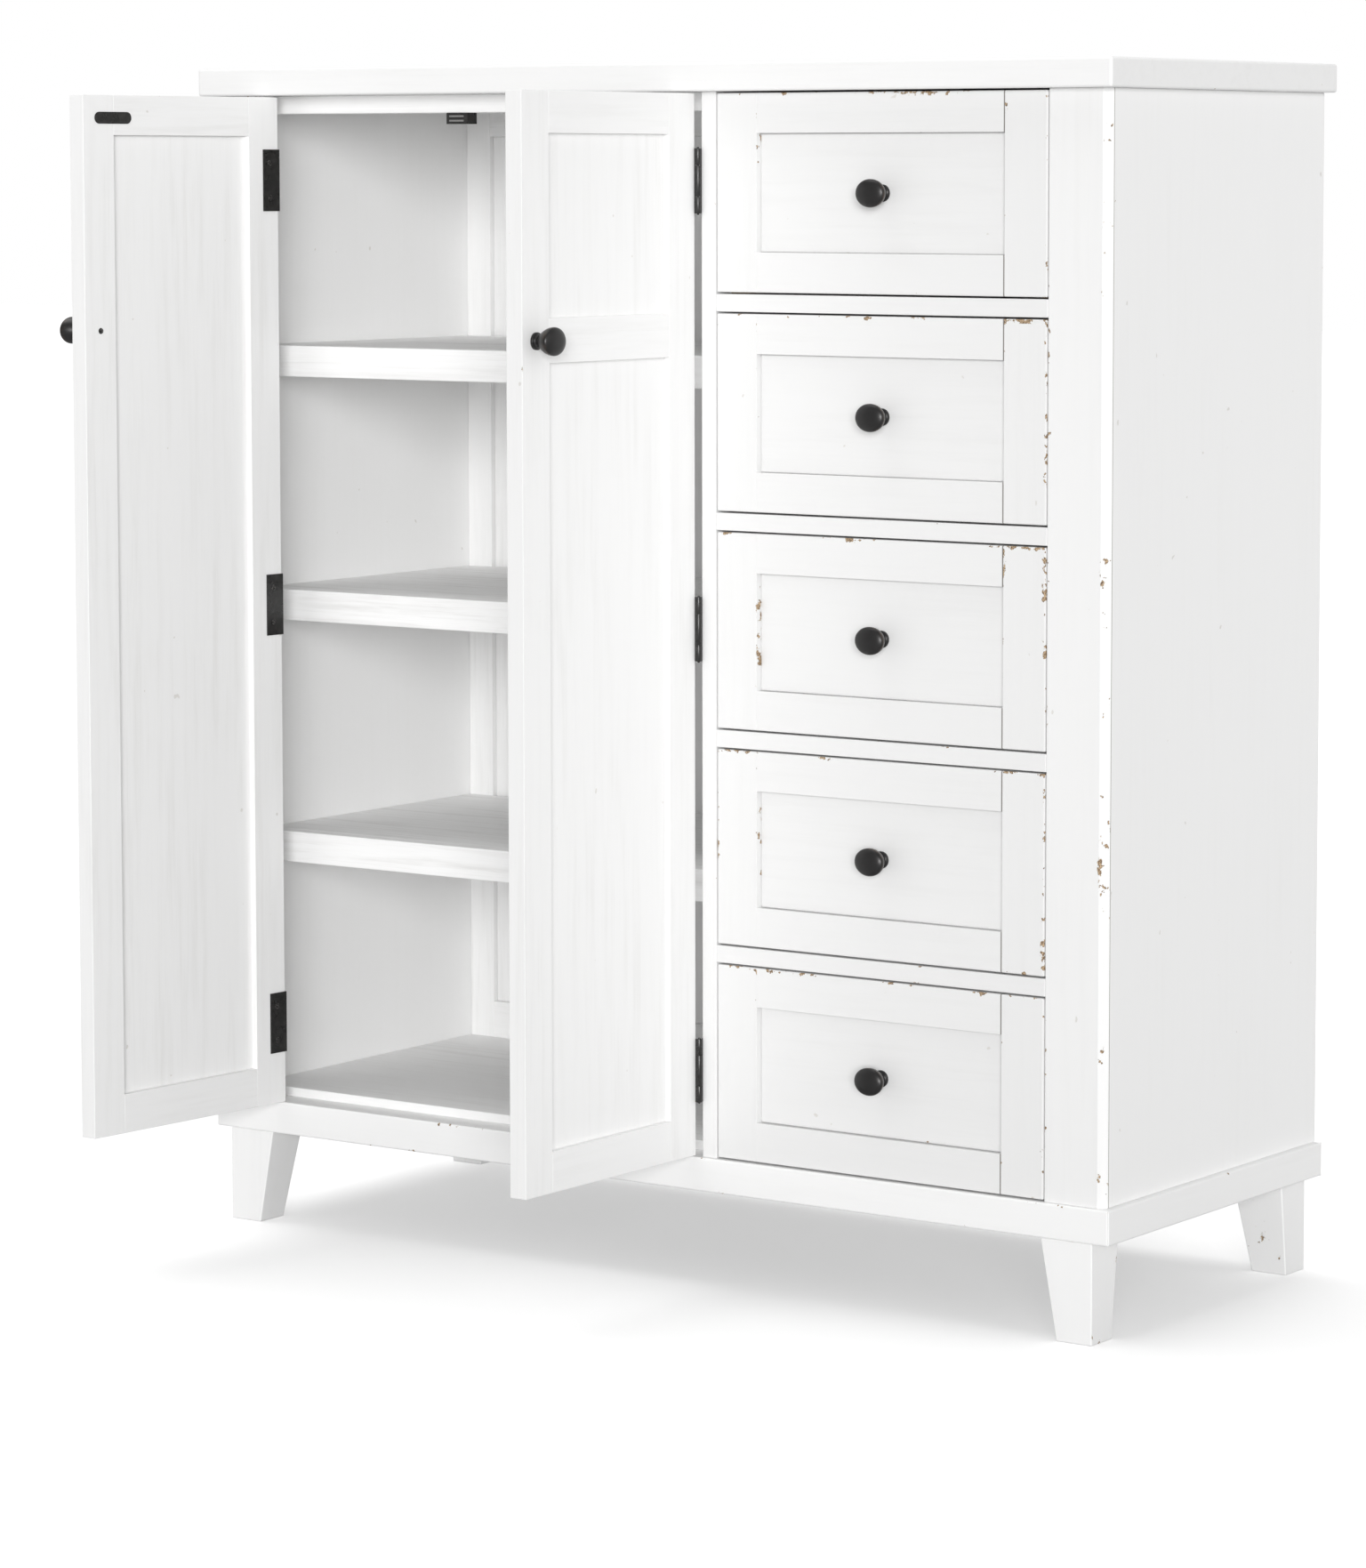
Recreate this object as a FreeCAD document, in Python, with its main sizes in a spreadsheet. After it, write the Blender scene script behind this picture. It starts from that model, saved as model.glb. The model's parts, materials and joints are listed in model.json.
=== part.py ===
"""Painted armoire: two panelled doors over shelves beside a stack of five drawers.

Millimetres, +Z up, front towards -Y.  The origin is on the floor, under the
middle of the whole object with its doors standing open.
"""
import FreeCAD, Part
import os
import re
import sys

import Sketcher

# --- driving sizes ---------------------------------------------------------

DRAWER_COUNT = 5
SHELF_COUNT = 3

SIZES = {
    # top slab
    "slab_width": 1220,
    "slab_thickness": 31,
    "slab_side_overhang": 11.4,
    "slab_front_overhang": 16.5,
    "slab_rear_overhang": 8,
    "slab_edge_radius": 3,
    # carcass
    "body_depth": 458,
    "body_height": 1162,
    "side_thickness": 22,
    "frame_thickness": 20,
    "stile_width": 73,
    "stile_chamfer": 8.2,
    "side_seam_setback": 9,
    "middle_stile_width": 19,
    "partition_thickness": 17,
    "head_rail_height": 20.5,
    "head_rail_depth": 45,
    "stop_clearance": 3,
    "floor_thickness": 11,
    "floor_setback": 30,
    # frame-and-panel back
    "back_frame_thickness": 16,
    "back_stile_width": 35.5,
    "back_middle_stile_width": 73,
    "back_rail_height": 44,
    "back_panel_thickness": 6,
    "back_panel_recess": 7,
    # shelves
    "shelf_thickness": 19,
    "shelf_lip_height": 36,
    "shelf_lip_thickness": 19,
    "shelf_setback": 38,
    "first_shelf_height": 300,
    "shelf_pitch": 282.5,
    "cleat_width": 15,
    "cleat_height": 22,
    "cleat_end_gap": 12,
    # base frame and legs
    "base_height": 37.5,
    "base_side_overhang": 8,
    "base_front_overhang": 4.5,
    "base_rail_width": 76,
    "leg_height": 108,
    "leg_side_inset": 20.5,
    "leg_front_inset": 1.5,
    "leg_top_width": 63,
    "leg_top_depth": 54,
    "leg_foot_width": 43,
    "leg_foot_depth": 42,
    # doors
    "door_thickness": 21,
    "door_edge_gap": 2,
    "door_meeting_gap": 2,
    "door_stile_width": 46,
    "door_rail_height": 44,
    "door_middle_rail_height": 47,
    "door_panel_thickness": 7,
    "door_panel_recess": 7,
    "door_knob_drop": 261,
    "left_door_angle": 94.6,
    "right_door_angle": 89.2,
    # hinges
    "hinge_height": 70,
    "hinge_end_distance": 96,
    "hinge_barrel_radius": 3.4,
    "hinge_barrel_standoff": 0.1,
    "hinge_leaf_thickness": 1.4,
    "hinge_leaf_play": 0.6,
    "hinge_leaf_depth": 19,
    "hinge_wrap_width": 26,
    "hinge_middle_knuckle": 33.4,
    "hinge_knuckle_gap": 0.3,
    "hinge_pin_radius": 1.3,
    "hinge_pin_clearance": 0.05,
    "hinge_pin_tip": 1.5,
    "hinge_screw_spread": 39.4,
    "hinge_screw_setback": 14.5,
    "screw_shank_radius": 1.6,
    "screw_head_radius": 4,
    "screw_head_height": 1,
    "screw_length": 14,
    # magnetic catches
    "strike_length": 55,
    "strike_height": 13,
    "strike_thickness": 1.2,
    "strike_free_distance": 44.5,
    "catch_width": 30,
    "catch_depth": 17,
    "catch_height": 12.5,
    "catch_pole_width": 20,
    "catch_pole_thickness": 2,
    "catch_pole_spacing": 5,
    "catch_pole_stickout": 1.4,
    # drawers
    "drawer_bay_width": 419.5,
    "divider_height": 19,
    "divider_depth": 60,
    "drawer_gap": 2,
    "drawer_side_gap": 1.5,
    "drawer_front_thickness": 20,
    "drawer_stile_width": 52,
    "drawer_rail_height": 43,
    "drawer_panel_recess": 8,
    "drawer_box_side_inset": 5,
    "drawer_box_headroom": 43,
    "drawer_box_board": 12,
    "drawer_box_back_gap": 17,
    "drawer_bottom_thickness": 6,
    "drawer_bottom_lift": 8,
    "runner_clearance": 0.6,
    "runner_bearing": 26,
    "runner_overlap": 20,
    "guide_height": 12,
    "guide_clearance": 1.5,
    # knobs
    "knob_half_width": 18,
    "knob_half_height": 15,
    "knob_projection": 30.3,
    "knob_rim_height": 24.3,
    "knob_shoulder_radius": 12.6,
    "knob_shoulder_height": 14.2,
    "knob_base_radius": 9.3,
    "knob_base_height": 3,
    "knob_neck_radius": 6.9,
    "knob_neck_height": 7,
}

# --- places worked out from the sizes --------------------------------------

LAYOUT = {
    # heights
    "base_bottom": "leg_height",
    "base_top": "base_bottom + base_height",
    "floor_top": "base_top + floor_thickness",
    "body_top": "base_top + body_height",
    "slab_top": "body_top + slab_thickness",
    "head_rail_bottom": "body_top - head_rail_height",
    # across
    "body_side": "slab_width / 2 - slab_side_overhang",
    "inner_side": "body_side - side_thickness",
    "opening_side": "body_side - stile_width",
    "bay_left": "opening_side - drawer_bay_width",
    "middle_left": "bay_left - middle_stile_width",
    "partition_left": "(bay_left + middle_left - partition_thickness) / 2",
    "partition_right": "partition_left + partition_thickness",
    "base_side": "body_side + base_side_overhang",
    "leg_side": "base_side - leg_side_inset",
    # door swing, measured from the hinge pin
    "hinge_gap": "2 * hinge_leaf_thickness + hinge_leaf_play",
    "door_edge": "hinge_gap / 2",
    "door_width": "(opening_side + middle_left - door_meeting_gap) / 2 - hinge_gap",
    "door_free": "door_edge + door_width",
    "pin_forward": "hinge_barrel_radius + hinge_barrel_standoff",
    "door_inner": "pin_forward + door_thickness",
    "door_reach": "pin_forward + door_free * sin(left_door_angle)"
                  " - door_inner * cos(left_door_angle)",
    "left_pin": "door_edge - opening_side",
    "right_pin": "middle_left - door_edge",
    "door_bottom": "base_top + door_edge_gap",
    "door_top": "body_top - door_edge_gap",
    "knob_level": "body_top - door_knob_drop",
    # front to back
    "face": "(door_reach - body_depth - slab_rear_overhang) / 2",
    "frame_back": "face + frame_thickness",
    "body_rear": "face + body_depth",
    "back_frame_front": "body_rear - back_frame_thickness",
    "floor_front": "face + floor_setback",
    "head_rail_front": "face + door_thickness + stop_clearance",
    "base_front": "face - base_front_overhang",
    "base_depth": "body_rear - base_front",
    "pin_line": "face - pin_forward",
    # back frame
    "back_opening_side": "inner_side - back_stile_width",
    "back_middle_left": "(bay_left + middle_left - back_middle_stile_width) / 2",
    "back_middle_right": "back_middle_left + back_middle_stile_width",
    "back_opening_bottom": "floor_top + back_rail_height",
    "back_opening_top": "body_top - back_rail_height",
    "back_panel_front": "back_frame_front + back_panel_recess",
    # drawers
    "drawer_pitch": "(body_height + divider_height) / %d" % DRAWER_COUNT,
    "drawer_front_height": "drawer_pitch - divider_height - 2 * drawer_gap",
    "drawer_left": "bay_left + drawer_side_gap",
    "drawer_right": "opening_side - drawer_side_gap",
    "drawer_middle": "(drawer_left + drawer_right) / 2",
    "drawer_front_back": "face + drawer_front_thickness",
    "box_left": "drawer_left + drawer_box_side_inset",
    "box_right": "drawer_right - drawer_box_side_inset",
    "box_rear": "back_frame_front - drawer_box_back_gap",
    "box_lift": "floor_thickness + runner_clearance",
    "box_height": "drawer_front_height - drawer_box_headroom",
    # hinges
    "outer_knuckle": "(hinge_height - hinge_middle_knuckle) / 2 - hinge_knuckle_gap",
    "knuckle_bore": "hinge_pin_radius + hinge_pin_clearance",
    "leaf_start": "hinge_barrel_radius + hinge_knuckle_gap",
    "hinge_span": "body_height - 2 * hinge_end_distance",
    # catches
    "catch_front": "head_rail_front",
    "strike_middle": "door_free - strike_free_distance",
    "catch_bottom": "head_rail_bottom - catch_height",
}

doc = FreeCAD.newDocument("Armoire")


def linked(expression):
    """Point each named size or place of an expression at its sheet."""
    def point(match):
        word = match.group(0)
        if word in SIZES:
            return "Sizes." + word
        if word in LAYOUT:
            return "Layout." + word
        return word
    return re.sub(r"[a-z][a-z_0-9]*", point, str(expression))


def make_sheet(name, rows, formula):
    """Fill one spreadsheet: names in column A, values with aliases in column B."""
    sheet = doc.addObject("Spreadsheet::Sheet", name)
    for row, (alias, value) in enumerate(rows.items(), start=1):
        sheet.set("A%d" % row, alias)
        sheet.set("B%d" % row, "=" + linked(value) if formula else str(value))
        sheet.setAlias("B%d" % row, alias)
    doc.recompute()
    return sheet


make_sheet("Sizes", SIZES, formula=False)
make_sheet("Layout", LAYOUT, formula=True)

nodes = []


# --- ways of making a piece ------------------------------------------------

def bind(item, **expressions):
    """Bind properties; Placement_Base_x stands for Placement.Base.x."""
    for name, expression in expressions.items():
        item.setExpression(name.replace("_", "."), linked(expression))
    return item


def place(item, x="0", y="0", z="0"):
    return bind(item, Placement_Base_x=x, Placement_Base_y=y, Placement_Base_z=z)


def board(x, y, z):
    """A straight board from its low and high expression along each axis."""
    item = doc.addObject("Part::Box", "Board")
    bind(item, Length="(%s) - (%s)" % (x[1], x[0]), Width="(%s) - (%s)" % (y[1], y[0]),
         Height="(%s) - (%s)" % (z[1], z[0]))
    return place(item, x[0], y[0], z[0])


def rod(radius, length, x="0", y="0", z="0"):
    """An upright round bar standing on the given point."""
    item = doc.addObject("Part::Cylinder", "Rod")
    bind(item, Radius=radius, Height=length)
    return place(item, x, y, z)


def joined(pieces):
    item = doc.addObject("Part::MultiFuse", "Joined")
    item.Shapes = pieces
    item.Refine = True
    return item


def bored(base, tool):
    item = doc.addObject("Part::Cut", "Bored")
    item.Base, item.Tool = base, tool
    return item


def node(label, pieces):
    """Name one sub-part, grouping its separate solids where it has several."""
    if len(pieces) == 1:
        item = pieces[0]
    else:
        item = doc.addObject("Part::Compound", "Group")
        item.Links = pieces
    item.Label = label
    nodes.append(item)
    return item


def between(low, high, sign):
    """A span across, mirrored to the other side when sign is -1."""
    return (low, high) if sign > 0 else ("-(%s)" % high, "-(%s)" % low)


def origin_plane(body, role):
    return next(f for f in body.Origin.OriginFeatures if f.Role == role)


def attached_sketch(body, role):
    sketch = body.newObject("Sketcher::SketchObject", "Outline")
    sketch.AttachmentSupport = [(origin_plane(body, role), "")]
    sketch.MapMode = "FlatFace"
    return sketch


def locate(sketch, edge, end, point):
    """Hold one end of a sketch line at a bound distance from both axes."""
    for axis, kind, value in ((-2, "DistanceX", point[0]), (-1, "DistanceY", point[1])):
        if value == "0":
            sketch.addConstraint(Sketcher.Constraint("PointOnObject", edge, end, axis))
        else:
            distance = evaluated((value,)).x
            index = sketch.addConstraint(Sketcher.Constraint(kind, -1, 1, edge, end,
                                                             distance))
            sketch.setExpression("Constraints[%d]" % index, linked(value))


def evaluated(point):
    return FreeCAD.Vector(*[doc.Sizes.evalExpression(linked(value)) for value in point])


def polygon_body(points, height):
    """A PartDesign body: a closed outline on the ground plane, padded upwards."""
    body = doc.addObject("PartDesign::Body", "Body")
    sketch = attached_sketch(body, "XY_Plane")
    corners = [evaluated(point) for point in points]
    for start, end in zip(corners, corners[1:] + corners[:1]):
        sketch.addGeometry(Part.LineSegment(start, end))
    for edge in range(len(points)):
        following = (edge + 1) % len(points)
        sketch.addConstraint(Sketcher.Constraint("Coincident", edge, 2, following, 1))
        locate(sketch, edge, 1, points[edge])
    pad = body.newObject("PartDesign::Pad", "Pad")
    pad.Profile = sketch
    bind(pad, Length=height)
    return body


# --- top slab --------------------------------------------------------------

def make_top_slab():
    depth = "slab_front_overhang + body_depth + slab_rear_overhang"
    corners = [("0", "0"), ("slab_width", "0"), ("slab_width", depth), ("0", depth)]
    body = polygon_body(corners, "slab_thickness")
    pad = body.Tip
    doc.recompute()
    fillet = body.newObject("PartDesign::Fillet", "EasedEdges")
    fillet.Base = (pad, ["Edge%d" % (i + 1) for i in range(len(pad.Shape.Edges))])
    bind(fillet, Radius="slab_edge_radius")
    place(body, "-slab_width / 2", "face - slab_front_overhang", "body_top")
    node("top_slab", [body])


# --- carcass ---------------------------------------------------------------

def make_sides():
    for name, sign in (("left", -1), ("right", 1)):
        node("side_panel_" + name, [board(
            between("inner_side", "body_side", sign),
            ("face + side_seam_setback", "body_rear"), ("base_top", "body_top"))])


def make_front_stiles():
    """Corner stiles with a chamfered arris, rabbeted for the side panel's edge."""
    for name, sign in (("left", -1), ("right", 1)):
        outline = [("0", "0"), ("stile_width - stile_chamfer", "0"),
                   ("stile_width", "stile_chamfer"), ("stile_width", "side_seam_setback"),
                   ("stile_width - side_thickness", "side_seam_setback"),
                   ("stile_width - side_thickness", "frame_thickness"),
                   ("0", "frame_thickness")]
        if sign < 0:
            outline = [("stile_width - (%s)" % x, y) for x, y in reversed(outline)]
            outline = [("0" if x == "stile_width - (stile_width)" else x, y)
                       for x, y in outline]
        body = polygon_body(outline, "body_height")
        left_edge = "opening_side" if sign > 0 else "-body_side"
        place(body, left_edge, "face", "base_top")
        node("front_stile_" + name, [body])


def make_middle():
    node("middle_stile", [board(
        ("middle_left", "bay_left"), ("face", "frame_back"), ("base_top", "body_top"))])
    node("partition", [board(
        ("partition_left", "partition_right"), ("frame_back", "back_frame_front"),
        ("floor_top", "body_top"))])
    node("head_rail", [board(
        ("-inner_side", "partition_left"),
        ("head_rail_front", "head_rail_front + head_rail_depth"),
        ("head_rail_bottom", "body_top"))])
    node("bottom_panel", [board(
        ("-inner_side", "inner_side"), ("floor_front", "back_frame_front"),
        ("base_top", "floor_top"))])


def make_back():
    depth = ("back_frame_front", "body_rear")
    full = ("base_top", "body_top")
    frame = [board(across, depth, full) for across in (
        ("-inner_side", "-back_opening_side"), ("back_middle_left", "back_middle_right"),
        ("back_opening_side", "inner_side"))]
    panels = []
    for across in (("-back_opening_side", "back_middle_left"),
                   ("back_middle_right", "back_opening_side")):
        frame.append(board(across, depth, ("base_top", "back_opening_bottom")))
        frame.append(board(across, depth, ("back_opening_top", "body_top")))
        panels.append(board(
            across, ("back_panel_front", "back_panel_front + back_panel_thickness"),
            ("back_opening_bottom", "back_opening_top")))
    node("back_frame", frame)
    node("back_panels", panels)


def make_shelves():
    lip_back = "face + shelf_setback + shelf_lip_thickness"
    cleats = []
    for index, name in enumerate(("lower", "middle", "upper")[:SHELF_COUNT]):
        top = "floor_top + first_shelf_height + %d * shelf_pitch" % index
        under = top + " - shelf_thickness"
        across = ("-inner_side", "partition_left")
        node("shelf_" + name, [
            board(across, (lip_back, "back_frame_front"), (under, top)),
            board(across, ("face + shelf_setback", lip_back),
                  (top + " - shelf_lip_height", top))])
        length = (lip_back, "back_frame_front - cleat_end_gap")
        for span in (("-inner_side", "cleat_width - inner_side"),
                     ("partition_left - cleat_width", "partition_left")):
            cleats.append(board(span, length, (under + " - cleat_height", under)))
    node("shelf_cleats", cleats)


# --- base frame and legs ---------------------------------------------------

def mitred_rail(length):
    """A base rail with 45 degree mitred ends, its long outer edge along its own X."""
    corners = [("0", "0"), (length, "0"),
               (length + " - base_rail_width", "base_rail_width"),
               ("base_rail_width", "base_rail_width")]
    return polygon_body(corners, "base_height")


def make_base():
    """Four mitred rails; each is turned so that its outer edge faces outwards."""
    rails = {}
    for name, length, quarter_turns, corner in (
            ("front", "2 * base_side", 0, ("-base_side", "base_front")),
            ("right", "base_depth", 1, ("base_side", "base_front")),
            ("back", "2 * base_side", 2, ("base_side", "body_rear")),
            ("left", "base_depth", 3, ("-base_side", "body_rear"))):
        rail = mitred_rail(length)
        rail.Placement.Rotation = FreeCAD.Rotation(FreeCAD.Vector(0, 0, 1),
                                                   90 * quarter_turns)
        rails[name] = place(rail, corner[0], corner[1], "base_bottom")
    node("base_front_rail", [rails.pop("front")])
    node("base_rails", list(rails.values()))


def make_legs():
    """Legs that taper on their two inner faces and stay upright on the outer ones."""
    for end, side in (("front", "left"), ("front", "right"), ("rear", "left"),
                      ("rear", "right")):
        leg = doc.addObject("Part::Wedge", "Leg")
        # The wedge grows along its own Y, which stands upright once turned.
        leg.Placement.Rotation = FreeCAD.Rotation(FreeCAD.Vector(1, 0, 0), 90)
        bind(leg, Xmin="0", Xmax="leg_foot_width", X2min="0", X2max="leg_top_width",
             Zmin="0", Zmax="leg_foot_depth", Z2min="0", Z2max="leg_top_depth",
             Ymin="0", Ymax="leg_height")
        if side == "right":
            bind(leg, Xmin="leg_top_width - leg_foot_width", Xmax="leg_top_width")
        if end == "front":
            bind(leg, Zmin="leg_top_depth - leg_foot_depth", Zmax="leg_top_depth")
        left_edge = "-leg_side" if side == "left" else "leg_side - leg_top_width"
        rear_edge = "base_front + leg_front_inset + leg_top_depth" if end == "front" \
            else "body_rear"
        place(leg, left_edge, rear_edge, "0")
        node("%s_leg_%s" % (end, side), [leg])


# --- knobs and screws ------------------------------------------------------

def make_knob():
    """An oval bell-shaped knob standing on its base, with its crown along +Z."""
    body = doc.addObject("PartDesign::Body", "Knob")
    sketch = attached_sketch(body, "XZ_Plane")
    points = [("0", "0"), ("knob_base_radius", "0"),
              ("knob_base_radius", "knob_base_height"),
              ("knob_neck_radius", "knob_base_height + 1"),
              ("knob_neck_radius", "knob_neck_height"),
              ("knob_shoulder_radius", "knob_shoulder_height"),
              ("knob_half_width", "knob_rim_height")]
    corners = [evaluated(point) for point in points]
    for start, end in zip(corners, corners[1:]):
        sketch.addGeometry(Part.LineSegment(start, end))
    rim, crown = corners[-1], evaluated(("0", "knob_projection"))
    rise = crown.y - rim.y
    radius = (rim.x ** 2 + rise ** 2) / (2 * rise)
    circle = Part.Circle(FreeCAD.Vector(0, crown.y - radius, 0), FreeCAD.Vector(0, 0, 1),
                         radius)
    dome = len(points) - 1
    axis = dome + 1
    sketch.addGeometry(Part.ArcOfCircle(circle, circle.parameter(rim),
                                        circle.parameter(crown)))
    sketch.addGeometry(Part.LineSegment(crown, corners[0]))
    for edge in range(axis):
        sketch.addConstraint(Sketcher.Constraint("Coincident", edge, 2, edge + 1, 1))
    sketch.addConstraint(Sketcher.Constraint("Coincident", axis, 2, 0, 1))
    for edge in range(dome):
        locate(sketch, edge, 1, points[edge])
    locate(sketch, dome, 1, points[dome])
    locate(sketch, axis, 1, ("0", "knob_projection"))
    sketch.addConstraint(Sketcher.Constraint("PointOnObject", dome, 3, -2))
    turn = body.newObject("PartDesign::Revolution", "Turned")
    turn.Profile = sketch
    turn.ReferenceAxis = (sketch, ["V_Axis"])
    turn.Angle = 360
    outline = doc.addObject("Part::Ellipse", "KnobOutline")
    bind(outline, MajorRadius="knob_half_width", MinorRadius="knob_half_height")
    prism = doc.addObject("Part::Extrusion", "KnobPrism")
    prism.Base = outline
    prism.DirMode = "Normal"
    prism.Solid = True
    bind(prism, LengthFwd="knob_projection")
    oval = doc.addObject("Part::MultiCommon", "OvalKnob")
    oval.Shapes = [body, prism]
    return oval


def facing_front(item, x, y, z):
    """Turn a piece so that its own +Z points to the front, and place it."""
    item.Placement.Rotation = FreeCAD.Rotation(FreeCAD.Vector(1, 0, 0), 90)
    return place(item, x, y, z)


def facing_back(item, x, y, z):
    """Turn a piece so that its own +Z points to the back, and place it."""
    item.Placement.Rotation = FreeCAD.Rotation(FreeCAD.Vector(1, 0, 0), -90)
    return place(item, x, y, z)


def make_screw(length):
    """A countersunk-head screw, its head on top and its shank below the origin."""
    shank = rod("screw_shank_radius", length, z="-(%s)" % length)
    head = rod("screw_head_radius", "screw_head_height")
    return joined([shank, head])


# --- doors -----------------------------------------------------------------

def on_door(item, side):
    """Carry a piece that is drawn round the hinge pin to its place on the open door."""
    item.Placement.Rotation = FreeCAD.Rotation(
        FreeCAD.Vector(0, 0, -1 if side == "left" else 1), 10)
    bind(item, Placement_Rotation_Angle="%s_door_angle" % side)
    return place(item, side + "_pin", "pin_line", "0")


def door_node(side, name, pieces):
    group = doc.addObject("Part::Compound", "DoorGroup")
    group.Links = pieces
    on_door(group, side)
    node("%s_door_%s" % (side, name), [group])


def hinge_levels():
    return ["base_top + hinge_end_distance + %s * hinge_span" % share
            for share in ("0", "0.5", "1")]


def make_door(side):
    sign = 1 if side == "left" else -1
    depth = ("pin_forward", "door_inner")
    height = ("door_bottom", "door_top")
    hinge_stile = ("door_edge", "door_edge + door_stile_width")
    free_stile = ("door_free - door_stile_width", "door_free")
    opening = (hinge_stile[1], free_stile[0])
    door_node(side, "stiles", [board(between(*span, sign), depth, height)
                               for span in (hinge_stile, free_stile)])
    low_rail = "door_bottom + door_rail_height"
    high_rail = "door_top - door_rail_height"
    panel_front = "pin_forward + door_panel_recess"
    half_rail = "door_middle_rail_height / 2"
    across = between(*opening, sign)
    door_node(side, "rails", [
        board(across, depth, ("door_bottom", low_rail)),
        board(across, depth, (high_rail, "door_top")),
        board(across, ("pin_forward", panel_front),
              ("knob_level - " + half_rail, "knob_level + " + half_rail))])
    door_node(side, "panel", [board(
        across, (panel_front, panel_front + " + door_panel_thickness"),
        (low_rail, high_rail))])

    mirror = "" if sign > 0 else "-1 * "
    knob_x = mirror + "(door_free - door_stile_width / 2)"
    screw_x = mirror + "(door_edge + hinge_screw_setback)"
    knob = facing_front(make_knob(), knob_x, "pin_forward", "knob_level")
    door_node(side, "knob", [knob])
    screws = [facing_back(make_screw("door_thickness"), knob_x, "door_inner",
                          "knob_level")]

    leaves = []
    for level in hinge_levels():
        bottom = "%s - hinge_height / 2" % level
        top = "%s + hinge_height / 2" % level
        thickness = between("door_edge - hinge_leaf_thickness", "door_edge", sign)
        wrap_back = "door_inner + hinge_leaf_thickness"
        parts = [board(thickness, ("leaf_start", wrap_back), (bottom, top)),
                 board(between("door_edge - hinge_leaf_thickness", "hinge_wrap_width", sign),
                       ("door_inner", wrap_back), (bottom, top))]
        for low in (bottom, "%s - outer_knuckle" % top):
            parts.append(rod("hinge_barrel_radius", "outer_knuckle", z=low))
            parts.append(board(thickness, ("0", "leaf_start"),
                               (low, "%s + outer_knuckle" % low)))
        bore = rod("knuckle_bore", "hinge_height", z=bottom)
        leaves.append(bored(joined(parts), bore))
        for direction in ("-", "+"):
            screws.append(facing_back(
                make_screw("screw_length"), screw_x, wrap_back,
                "%s %s hinge_screw_spread / 2" % (level, direction)))
    door_node(side, "hinge_leaves", leaves)
    door_node(side, "screws", screws)

    door_node(side, "strike_plate", [board(
        between("strike_middle - strike_length / 2", "strike_middle + strike_length / 2",
                sign),
        ("door_inner", "door_inner + strike_thickness"),
        ("head_rail_bottom - strike_height", "head_rail_bottom"))])


def make_frame_hinges():
    """Leaves screwed to the frame's edges, with the middle knuckles and the pins."""
    leaves, pins = [], []
    for side, sign in (("left", 1), ("right", -1)):
        span = between("-door_edge", "hinge_leaf_thickness - door_edge", sign)
        across = tuple("%s_pin + %s" % (side, value) for value in span)
        leaf_front = "pin_line + leaf_start"
        for level in hinge_levels():
            knuckle = "%s - hinge_middle_knuckle / 2" % level
            bottom = "%s - hinge_height / 2" % level
            parts = [
                board(across, (leaf_front, "face + hinge_leaf_depth"),
                      (bottom, "%s + hinge_height / 2" % level)),
                board(across, ("pin_line", leaf_front),
                      (knuckle, "%s + hinge_middle_knuckle" % knuckle)),
                rod("hinge_barrel_radius", "hinge_middle_knuckle",
                    side + "_pin", "pin_line", knuckle)]
            bore = rod("hinge_pin_radius", "hinge_middle_knuckle", side + "_pin",
                       "pin_line", knuckle)
            leaves.append(bored(joined(parts), bore))
            pins.append(rod("hinge_pin_radius", "hinge_height + 2 * hinge_pin_tip",
                            side + "_pin", "pin_line", bottom + " - hinge_pin_tip"))
    node("hinge_frame_leaves", leaves)
    node("hinge_pins", pins)


def make_catches():
    catches = []
    for side, sign in (("left", "+"), ("right", "-")):
        middle = "%s_pin %s strike_middle" % (side, sign)
        catches.append(board(
            (middle + " - catch_width / 2", middle + " + catch_width / 2"),
            ("catch_front", "catch_front + catch_depth"),
            ("catch_bottom", "head_rail_bottom")))
        for direction in ("-", "+"):
            level = "catch_bottom + catch_height / 2 %s catch_pole_spacing / 2" % direction
            catches.append(board(
                (middle + " - catch_pole_width / 2", middle + " + catch_pole_width / 2"),
                ("catch_front - catch_pole_stickout", "catch_front"),
                (level + " - catch_pole_thickness / 2",
                 level + " + catch_pole_thickness / 2")))
    node("magnetic_catches", catches)


# --- drawers ---------------------------------------------------------------

def drawer_floor(number):
    """Underside of a drawer's opening, counting drawers from the top."""
    return "base_top + %d * drawer_pitch" % (DRAWER_COUNT - number)


def make_drawer_frame():
    """Dividers between the drawers, and the runners and guides that carry them."""
    dividers, runners = [], []
    left = ("partition_right", "partition_right + runner_bearing")
    right = ("box_right - runner_overlap", "inner_side")
    for number in range(1, DRAWER_COUNT + 1):
        level = drawer_floor(number)
        runner_top = level + " + floor_thickness"
        if number < DRAWER_COUNT:
            dividers.append(board(
                ("bay_left", "opening_side"), ("face", "face + divider_depth"),
                (level + " - divider_height", level)))
            for across in (left, right):
                runners.append(board(across, ("floor_front", "back_frame_front"),
                                     (level, runner_top)))
        for across in (("partition_right", "box_left - guide_clearance"),
                       ("box_right + guide_clearance", "inner_side")):
            runners.append(board(across, ("floor_front", "back_frame_front"),
                                 (runner_top, runner_top + " + guide_height")))
    node("drawer_dividers", dividers)
    node("drawer_runners", runners)


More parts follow.
